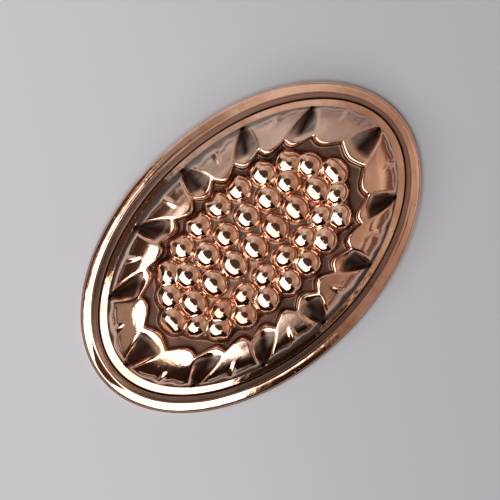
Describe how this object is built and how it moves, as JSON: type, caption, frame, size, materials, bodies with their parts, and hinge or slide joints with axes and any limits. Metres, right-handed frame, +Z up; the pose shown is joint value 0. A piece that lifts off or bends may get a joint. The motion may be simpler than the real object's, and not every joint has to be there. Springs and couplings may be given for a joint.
{
  "type": "jelly mould",
  "caption": "Oval copper jelly mould with a raised cluster of grapes, a wall of 12 arched lobes with petals between, a sloping collar and a flared rim with a wired edge; hollow and open below.",
  "frame": {"origin": "on the plane the rim rests on, under the middle of the oval", "axes": "+X along the oval's length, +Y across it, +Z up from the rim to the grapes"},
  "size_m": [0.17, 0.11, 0.037],
  "materials": {
    "polished_copper": "stamped sheet copper, hand polished outside, tinned inside",
    "rolled_copper": "strip copper, flared, turned under at its edge and polished",
    "iron_wire": "drawn iron wire, dull",
    "soft_solder": "soft tin solder, dull grey"
  },
  "bodies": {
    "root": {"mould_crown": "polished_copper", "base_band": "rolled_copper", "rim_wire": "iron_wire", "lap_solder": "soft_solder"}
  },
  "joints": []
}
